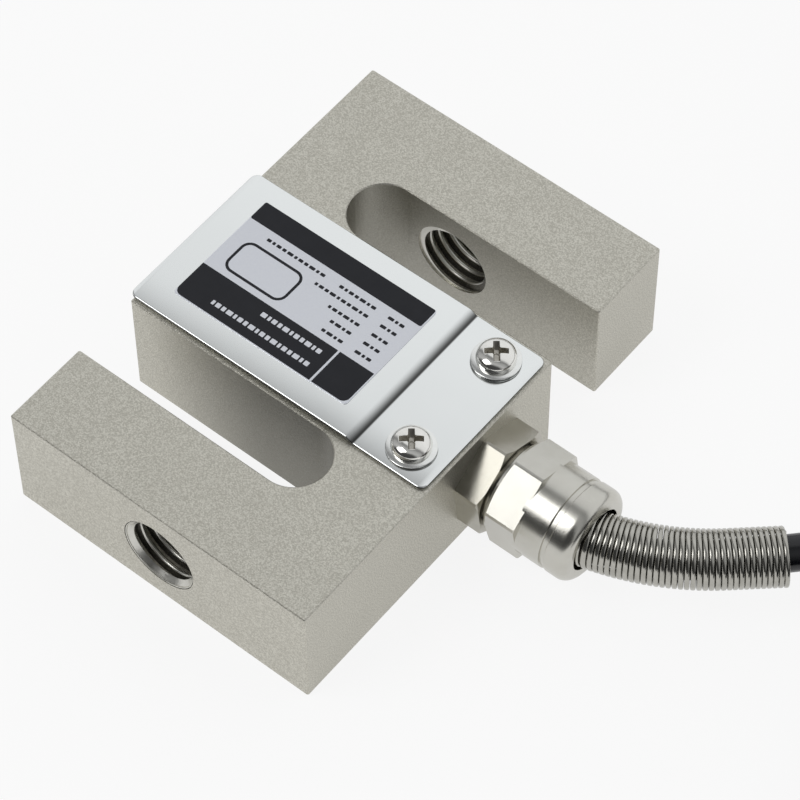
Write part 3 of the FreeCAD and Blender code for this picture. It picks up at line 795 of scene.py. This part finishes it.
def panel_lift(x):
    """How far the panel's underside stands over the block, with its fold down to the tab."""
    share = min((x - COVER_LOW.x) / (PANEL_END - COVER_LOW.x), 1)
    fold = eased((x - FOLD_START) / (FOLD_END - FOLD_START))
    return (LIFT_FAR + (LIFT_STEP - LIFT_FAR) * share) * (1 - fold)


def cover():
    """The pressed sheet: a sloping panel that steps down to the tab with the screws."""
    bm = bmesh.new()
    rectangle(bm, COVER_LOW, COVER_HIGH, COVER_CORNER, segments=10)
    folds = [FOLD_START + (FOLD_END - FOLD_START) * k / FOLD_CUTS for k in range(FOLD_CUTS + 1)]
    for x in [PANEL_END] + folds:
        cut_across(bm, (x, 0, 0), (1, 0, 0))
    thickened(bm, SHEET)
    for vert in bm.verts:
        vert.co.z += BLOCK_TOP + panel_lift(vert.co.x)
    rims = [edge for edge in bm.edges if edge.calc_face_angle(0) > RIM_ANGLE]
    softened(bm, rims, SHEET_ROUND, 3)
    second_material_upright(bm)
    # The upright cut edge is painted dark as shade.
    materials = [polished_cover(), sheared_edge()]
    return finished(bm, "cover", materials, "polished_steel", "cover_plate", sharp=50)


# =====================================================================================
# Label, with plain generic print
# =====================================================================================
PRINT_THICKNESS = 0.012 * MM
LABEL_THICKNESS = 0.1 * MM
LABEL_TOP = SHEET + LABEL_THICKNESS
UPPER_BAR = ((-21.5, 6.7), (8.5, 10.1))
LOWER_BARS = [((-21.5, -9.35), (2.3, -3.2)), ((2.65, -9.35), (8.5, -3.2))]
BAR_CORNER = 1.1 * MM
UPPER_BAR_CORNER = 0.3 * MM
OUTER_LEFT, OUTER_RIGHT, OUTER_LOW = -20 * MM, 5 * MM, -5 * MM  # beyond these, corners are round
ROWS = [  # y of each dashed row, and the ends of its groups
    (5.25, [(3.7, 6.8), (-4.4, 1.9), (-17.2, -7.0)]),
    (3.55, [(3.7, 6.8), (-7.9, 1.9)]),
    (1.70, [(3.7, 6.8), (-3.9, 1.9)]),
    (-0.05, [(3.7, 6.8), (-2.2, 1.9)]),
    (-1.85, [(3.7, 6.8), (-2.3, 1.9)]),
]
PALE_ROWS = [(-4.9, [(-9.7, 0.7)]), (-7.5, [(-16.6, 0.7)])]
DASH_CYCLE = [0.75, 0.45, 0.95, 0.6]
DASH_GAP = 0.28
DASH_HEIGHT = 0.50
DASH_CORNER = 0.1 * MM
PALE_DASH_HEIGHT = 0.75
STAMP_BOX = ((-19.3, -2.2), (-8.8, 3.7))
STAMP_CORNER = 1.6 * MM
STAMP_LINE = 0.42 * MM


def scaled(corner):
    return corner[0] * MM, corner[1] * MM


def laid_on_panel(bm, height):
    """Lays level print on the sloping label."""
    thickened(bm, PRINT_THICKNESS)
    for vert in bm.verts:
        vert.co.z += BLOCK_TOP + panel_lift(vert.co.x) + LABEL_TOP + height


def dashed_rows(bm, rows, height):
    """Rows of plain dashes that stand for entries."""
    for y, groups in rows:
        for start, end in groups:
            x, count = end, 0
            while x > start + DASH_CYCLE[-1]:
                left = max(x - DASH_CYCLE[count % len(DASH_CYCLE)], start)
                low, high = scaled((left, y - height / 2)), scaled((x, y + height / 2))
                rectangle(bm, low, high, DASH_CORNER, segments=2)
                x = left - DASH_GAP
                count += 1


def dark_print():
    """Black bars, a dashed row for each entry and an empty stamp box."""
    bm = bmesh.new()
    rectangle(bm, *map(scaled, STAMP_BOX), STAMP_CORNER)
    inside = bm.faces[:]
    bmesh.ops.inset_region(
        bm, faces=inside, thickness=STAMP_LINE, use_boundary=True, use_even_offset=True
    )
    bmesh.ops.delete(bm, geom=inside, context="FACES_ONLY")
    rectangle(bm, *map(scaled, UPPER_BAR), UPPER_BAR_CORNER)
    left, right = LOWER_BARS
    rectangle(bm, *map(scaled, left), BAR_CORNER, lambda at: at.x < OUTER_LEFT and at.y < OUTER_LOW)
    rectangle(bm, *map(scaled, right), BAR_CORNER, lambda at: at.x > OUTER_RIGHT and at.y < OUTER_LOW)
    dashed_rows(bm, ROWS, DASH_HEIGHT)
    laid_on_panel(bm, 0)
    return finished(bm, "label_print", label_ink(), "label_foil")


def pale_print():
    """Two pale dashed rows on the lower bar."""
    bm = bmesh.new()
    dashed_rows(bm, PALE_ROWS, PALE_DASH_HEIGHT)
    laid_on_panel(bm, PRINT_THICKNESS)
    return finished(bm, "label_rules", label_foil(), "label_foil")


# =====================================================================================
# Screws and washers
# =====================================================================================
SCREW_X = 19.6 * MM
SCREW_Y = 9.05 * MM
# Profiles are (radius, height) in mm.
WASHER_PROFILE = [(1.7, 19.5), (3.44, 19.5), (3.5, 19.57), (3.5, 19.86)]
WASHER_PROFILE += [(3.46, 19.95), (3.36, 20.0), (1.7, 20.0)]
HEAD_PROFILE = [
    (0, 21.9),
    (0.7, 21.885),
    (1.3, 21.82),
    (1.8, 21.70),
    (2.2, 21.53),
    (2.5, 21.30),
    (2.7, 21.0),
    (2.79, 20.7),
    (2.8, 20.3),
    (2.76, 20.1),
    (2.66, 20.0),
    (1.5, 20.0),
    (1.5, 12.3),
    (1.2, 12.0),
    (0, 12.0),
]
HEAD_TOP = 21.9 * MM
RECESS_TURN = 39.0  # degrees
RECESS_ARM = 1.95 * MM
RECESS_SLOT = 0.98 * MM
RECESS_DEPTH = 1.30 * MM
RECESS_ABOVE = 0.3 * MM  # by which the cutter stands out of the head
RECESS_TAPER = (0.48, 0.62)  # a blade's length and width at its bottom, against its top
RECESS_CONE = (0.32 * MM, 0.84 * MM)  # radii at the bottom and the top
CONE_DEPTH = 1.1 * RECESS_DEPTH
RECESS_ROUND = 0.035 * MM
RECESS_SHARP = 38  # degrees; sharper edges are rounded


def recess_cutter(x, y, top):
    """A cross of two blades that taper downwards, with a cone in the middle."""
    bm = bmesh.new()
    for turn in (0, 90):
        blade = bmesh.ops.create_cube(bm, size=1.0)["verts"]
        for vert in blade:
            low = vert.co.z < 0
            narrowed = RECESS_TAPER if low else (1.0, 1.0)
            vert.co.x *= 2 * RECESS_ARM * narrowed[0]
            vert.co.y *= RECESS_SLOT * narrowed[1]
            vert.co.z = -RECESS_DEPTH if low else RECESS_ABOVE
        turning = Matrix.Rotation(math.radians(RECESS_TURN + turn), 3, "Z")
        bmesh.ops.rotate(bm, cent=(0, 0, 0), matrix=turning, verts=blade)
    cone = bmesh.ops.create_cone(
        bm, cap_ends=True, segments=24, radius1=RECESS_CONE[0], radius2=RECESS_CONE[1], depth=1.0
    )["verts"]
    for vert in cone:
        vert.co.z = -CONE_DEPTH if vert.co.z < 0 else RECESS_ABOVE
    bmesh.ops.translate(bm, vec=(x, y, top), verts=bm.verts[:])
    # The recess's faces take the second material: dirt and painted shade.
    for face in bm.faces:
        face.material_index = 1
    return as_mesh(bm, "recess")


def cut_away(mesh, cutter):
    """The mesh less the cutter, as a new mesh."""
    whole = bpy.data.objects.new("whole", mesh)
    tool = bpy.data.objects.new("tool", cutter)
    link(whole)
    link(tool)
    cut = whole.modifiers.new("cut", "BOOLEAN")
    cut.object = tool
    cut.operation = "DIFFERENCE"
    cut.solver = "EXACT"
    cut.use_self = True
    edges = whole.modifiers.new("edges", "BEVEL")
    edges.width = RECESS_ROUND
    edges.segments = 2
    edges.limit_method = "ANGLE"
    edges.angle_limit = math.radians(RECESS_SHARP)
    state = bpy.context.evaluated_depsgraph_get()
    result = bpy.data.meshes.new_from_object(whole.evaluated_get(state))
    for item in (whole, tool):
        bpy.data.objects.remove(item)
    return result


def screw(name, x, y):
    """A pan head screw with a cross recess."""
    whole = closed_mesh(turned_upright(HEAD_PROFILE, x, y), name)
    mesh = cut_away(whole, recess_cutter(x, y, HEAD_TOP))
    mesh.name = name
    materials = [screw_plating(), recess_plating()]
    return placed(name, mesh, materials, "plated_screw", f"cover_{name}", sharp=30)


def washer(name, x, y):
    """A flat washer; its outer edge is left dull and painted dark as shade."""
    bm = turned_upright(WASHER_PROFILE, x, y)
    second_material_upright(bm)
    return finished(bm, name, [washer_plating(), sheared_edge()], "plated_screw", f"cover_{name}")


def fasten_cover():
    """A screw and its washer near each side edge of the cover's tab."""
    for name, side in (("lower", -1), ("upper", 1)):
        washer(f"washer_{name}", SCREW_X, side * SCREW_Y)
        screw(f"screw_{name}", SCREW_X, side * SCREW_Y)


# =====================================================================================
# Gland
# =====================================================================================
HEX_INRADIUS = 7.0 * MM
BASE_TURN = 37.0  # degrees
CAP_TURN = 38.5
TURNING_STEPS = 144
HEX_EDGE_ROUND = 0.07 * MM
HEX_CORNER_ANGLE = math.radians(50)  # edges sharper than this, along the gland, are its corners
ALONG_GLAND = 0.99  # a direction runs along the gland where its X is above this
# Profiles are (x, radius) in mm.
BASE_PROFILE = [(17.4, 3.0), (17.4, 4.7), (17.7, 5.0), (25.7, 5.0), (25.7, 5.9), (36.8, 5.9)]
BASE_PROFILE += [(37.0, 5.7), (37.0, 4.4), (31.5, 4.4), (31.5, 3.0)]
BASE_HEXAGON = [(25.4, 5.0), (25.4, 7.97), (29.1, 7.97), (29.4, 7.45), (29.5, 7.2), (29.5, 5.9)]
CAP_PROFILE = [
    (35.0, 6.1),
    (35.0, 7.05),
    (39.28, 7.05),
    (39.36, 7.00),
    (39.42, 6.74),
    (40.12, 6.74),
    (40.20, 7.00),
    (40.28, 7.05),
]
CAP_HEXAGON = [(30.0, 6.1), (30.0, 6.72), (30.1, 6.84), (30.45, 6.92), (30.5, 7.02), (30.85, 7.95)]
CAP_HEXAGON += [(35.4, 7.95), (35.45, 7.88), (35.45, 6.1)]
NOSE_CENTRE = (42.0, 5.45)
NOSE_ROUND = 1.6
NOSE_STEPS = 9
CAP_BORE = [(43.6, 4.80), (43.55, 4.75), (39.7, 4.75), (39.7, 3.1)]
CAP_BORE += [(39.15, 3.1), (39.15, 3.85), (37.55, 5.45), (37.0, 6.1)]


def nose_arc():
    """The rounded nose, from the sleeve to the tip."""
    turns = [math.radians(90 - 90 * k / NOSE_STEPS) for k in range(NOSE_STEPS + 1)]
    x, radius = NOSE_CENTRE
    return [(x + NOSE_ROUND * math.cos(turn), radius + NOSE_ROUND * math.sin(turn)) for turn in turns]


def turned_along_gland(bm, profile):
    """Turns a closed profile of (x, radius) points in mm about the gland's axis."""
    points = [(x * MM, 0, AXIS_Z + radius * MM) for x, radius in profile]
    corners, edges = outline(bm, points)
    spun(bm, corners + edges, (0, 0, AXIS_Z), (1, 0, 0), TURNING_STEPS)
    bmesh.ops.remove_doubles(bm, verts=bm.verts[:], dist=SAME_PLACE)


def milled_hexagon(profile, turn):
    """A turned ring with six flats milled on it; the turned ends give them their curved tips."""
    bm = bmesh.new()
    turned_along_gland(bm, profile)
    for side in range(6):
        angle = math.radians(turn + 60 * (side + 0.5))
        outwards = Vector((0, math.cos(angle), math.sin(angle)))
        cut_across(bm, Vector((0, 0, AXIS_Z)) + outwards * HEX_INRADIUS, outwards, clear=True)
        capped(bm)
    bm.normal_update()
    corners = []
    for edge in bm.edges:
        along = (edge.verts[1].co - edge.verts[0].co).normalized()
        if edge.calc_face_angle(0) > HEX_CORNER_ANGLE and abs(along.x) > ALONG_GLAND:
            corners.append(edge)
    softened(bm, corners, HEX_EDGE_ROUND)
    return bm


def gland_part(name, round_profile, hexagon_profile, turn, material, node):
    """One part of the gland: its turned body and its hexagon."""
    bm = bmesh.new()
    turned_along_gland(bm, round_profile)
    hexagon = as_mesh(milled_hexagon(hexagon_profile, turn), "hexagon")
    bm.from_mesh(hexagon)
    bpy.data.meshes.remove(hexagon)
    return finished(bm, name, material, "nickel_brass", node, sharp=24)


def gland():
    """The base, in a darker copy of the plating that paints shade on it, and the brighter nut with
    its sleeve.
    """
    # The base's darker copy of the plating is painted shade.
    dimmer = gland_nickel("worn_nickel_brass", (0.55, 0.53, 0.47), (0.40, 0.385, 0.335))
    bright = gland_nickel("nickel_brass", (0.69, 0.68, 0.63), (0.56, 0.545, 0.495))
    gland_part("gland_base", BASE_PROFILE, BASE_HEXAGON, BASE_TURN, dimmer, "gland_body")
    sleeve = CAP_PROFILE + nose_arc() + CAP_BORE
    gland_part("gland_nut", sleeve, CAP_HEXAGON, CAP_TURN, bright, "gland_cap")


# =====================================================================================
# Bend guard: a close-wound spring
# =====================================================================================
GUARD_START = Vector((39.7, -0.32, 9.5)) * MM
GUARD_STRETCHES = [(1.652, 0.0), (2.234, 16.0), (17.764, 25.8), (8.3, 0.0)]  # length in mm, degrees
GUARD_LENGTH = 29.95 * MM
WIRE_WIDTH = 0.66 * MM  # along the guard
WIRE_HEIGHT = 0.56 * MM
WIRE_ROUND = 0.20 * MM
WIND_RADIUS = 3.86 * MM
GUARD_TURNS = 39
GUARD_STEPS = 30


def along_guard(distance):
    """The guard's middle line: the place and heading at a distance from its foot."""
    place, heading = GUARD_START.copy(), 0.0
    for length, turn in GUARD_STRETCHES:
        part = min(distance, length * MM)
        swing = math.radians(turn) * part / (length * MM)
        chord = part if swing == 0 else part * math.sin(swing / 2) / (swing / 2)
        middle = heading + swing / 2
        place += Vector((math.cos(middle), math.sin(middle), 0)) * chord
        heading += swing
        distance -= part
    return place, heading


def guard():
    """Winds the wire about a straight line, then bends the whole along the guard's line."""
    bm = bmesh.new()
    half = WIRE_HEIGHT / 2
    rectangle(bm, (0, WIND_RADIUS - half), (WIRE_WIDTH, WIND_RADIUS + half), WIRE_ROUND, segments=2)
    bmesh.ops.delete(bm, geom=bm.faces[:], context="FACES_ONLY")
    pitch = (GUARD_LENGTH - WIRE_WIDTH) / GUARD_TURNS
    steps = GUARD_TURNS * GUARD_STEPS
    spun(bm, bm.verts[:] + bm.edges[:], (0, 0, 0), (1, 0, 0), steps, GUARD_TURNS, pitch)
    capped(bm)
    for vert in bm.verts:
        place, heading = along_guard(vert.co.x)
        side = Vector((-math.sin(heading), math.cos(heading), 0))
        vert.co = place + side * vert.co.y + Vector((0, 0, vert.co.z))
    return finished(bm, "bend_guard", spring_steel(), "spring_wire", "guard_spring", sharp=60)


# =====================================================================================
# The cable that lies free
# =====================================================================================
CABLE_RADIUS = 2.6 * MM
CABLE_ROUTE = [
    (64.05, 13.6, 9.5),
    (70.21, 20.16, 9.5),
    (78.0, 27.1, 7.8),
    (87.8, 33.1, 4.7),
    (99.8, 38.0, 2.75),
]
COIL_CENTRE = Vector((126.8, 6.0, 0)) * MM
COIL_ENTRY = 106.0  # degrees, where the cable joins the coil's outer turn
COIL_TURNS = [38.3, 33.1, 27.9, 22.7, 25.3, 30.5, 35.7, 33.1, 27.9]  # radii in mm, as wound
COIL_STOREYS = [0, 0, 0, 0, 1, 1, 1, 2, 2]  # the layer of each turn, from the floor
TAIL_RADIUS = 30.5
TAIL_SWEEP = 122.0  # degrees
STOREY_NESTED = 4.5  # mm from one layer to the next, where a turn lies between two others
STOREY_CROSSING = 5.2  # and where it crosses them
POINTS_PER_TURN = 18
CROSSING_START = 300.0  # degrees into each turn where it moves over to the next place
CLIMB_START = 230.0  # and where a layer's last turn rises
CLIMB_END = 290.0
CROSSING_EDGE = 22.0  # degrees over which the upper layers lift before and after a crossing


def lift(angle):
    """How far a turn is lifted off the groove below it, from 0 to 1, near a crossing."""
    before = eased((angle - CROSSING_START + CROSSING_EDGE) / CROSSING_EDGE)
    after = 1 - eased(angle / CROSSING_EDGE)
    return max(before, after)


def height_on(storey, angle):
    """A turn's height in mm over the lowest turns."""
    step = STOREY_NESTED + (STOREY_CROSSING - STOREY_NESTED) * lift(angle)
    return storey * step


def coil_point(radius, angle, height):
    """A control point: the curve runs a little inside its points, so they stand further out."""
    turn = math.radians(COIL_ENTRY - angle)
    out = radius * MM / math.cos(math.pi / POINTS_PER_TURN)
    up = CABLE_RADIUS + height * MM
    return COIL_CENTRE + Vector((math.cos(turn) * out, math.sin(turn) * out, up))


def coil_points():
    """The wound cable: flat layers of turns, each turn moving over to the next near its end."""
    radii = COIL_TURNS + [TAIL_RADIUS]
    storeys = COIL_STOREYS + [COIL_STOREYS[-1] + 1]
    step = 360 / POINTS_PER_TURN
    points = []
    for k in range(len(COIL_TURNS)):
        rise = storeys[k + 1] - storeys[k]
        for i in range(POINTS_PER_TURN):
            angle = i * step
            over = eased((angle - CROSSING_START) / (360 - CROSSING_START))
            radius = radii[k] + (radii[k + 1] - radii[k]) * over
            climb = rise * eased((angle - CLIMB_START) / (CLIMB_END - CLIMB_START))
            height = height_on(storeys[k], angle) * (1 - climb)
            height += height_on(storeys[k + 1], angle) * climb
            points.append(coil_point(radius, angle, height))
    for i in range(int(TAIL_SWEEP / step) + 1):
        points.append(coil_point(TAIL_RADIUS, i * step, height_on(storeys[-1], i * step)))
    return points


def free_cable():
    """The cord, on a smooth curve from the guard's mouth into the coil."""
    points = [Vector(point) * MM for point in CABLE_ROUTE] + coil_points()
    curve = bpy.data.curves.new("free_cable", "CURVE")
    curve.dimensions = "3D"
    spline = curve.splines.new("NURBS")
    spline.points.add(len(points) - 1)
    for target, point in zip(spline.points, points):
        target.co = (*point, 1)
    spline.order_u = 3
    spline.use_endpoint_u = True
    spline.resolution_u = 6
    curve.bevel_depth = CABLE_RADIUS
    curve.bevel_resolution = 6
    curve.use_fill_caps = True
    curve.materials.append(glossy_sheath())
    return piece_of("free_cable", curve, "cable_sheath", "cable_run", "cable_coil")


# =====================================================================================
# Finishes of the nodes that stay as the frame has them
# =====================================================================================
def node_finishes():
    """Each finish, and the nodes that it is for."""
    wires = {"red": (0.45, 0.02, 0.015), "black": (0.02, 0.02, 0.022)}
    wires |= {"green": (0.02, 0.23, 0.06), "white": (0.72, 0.71, 0.67)}
    finishes = [
        (blasted_nickel(), ["load_body"]),
        (moulded("black_sealant", (0.020, 0.019, 0.018), 0.45, 0.65), ["cover_seal"]),
        (label_foil(), ["rating_label"]),
        (moulded("black_rubber", (0.025, 0.025, 0.026), 0.55, 0.75), ["gland_seal"]),
        (moulded("nylon", (0.60, 0.60, 0.56), 0.35, 0.50), ["gland_claw"]),
        (glossy_sheath(), ["cable_inner"]),
        (moulded("shrink_sleeve", (0.016, 0.016, 0.018), 0.40, 0.60), ["cable_end_sleeve"]),
        (tinned_copper(), ["lead_strands"]),
        (moulded("foam_pad", (0.55, 0.55, 0.52), 0.80, 0.95, 0.5 * MM), ["board_pad"]),
        (board_green(), ["terminal_board"]),
        (moulded("resistor_black", (0.03, 0.03, 0.033), 0.30, 0.45), ["trim_resistors"]),
        (gauge_foil(), [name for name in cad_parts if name.startswith("strain_gauge")]),
    ]
    for colour, tone in wires.items():
        insulation = moulded(f"wire_{colour}", tone, 0.35, 0.50)
        finishes.append((insulation, [f"core_{colour}", f"lead_{colour}"]))
    return finishes


def finish_nodes():
    for material, names in node_finishes():
        for name in names:
            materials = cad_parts[name].data.materials
            materials.clear()
            materials.append(material)


# =====================================================================================
# Making
# =====================================================================================
place_camera()
free_cable()
cut_threads()
cover()
dark_print()
pale_print()
fasten_cover()
gland()
guard()
finish_nodes()
lay_floor()
light_studio()
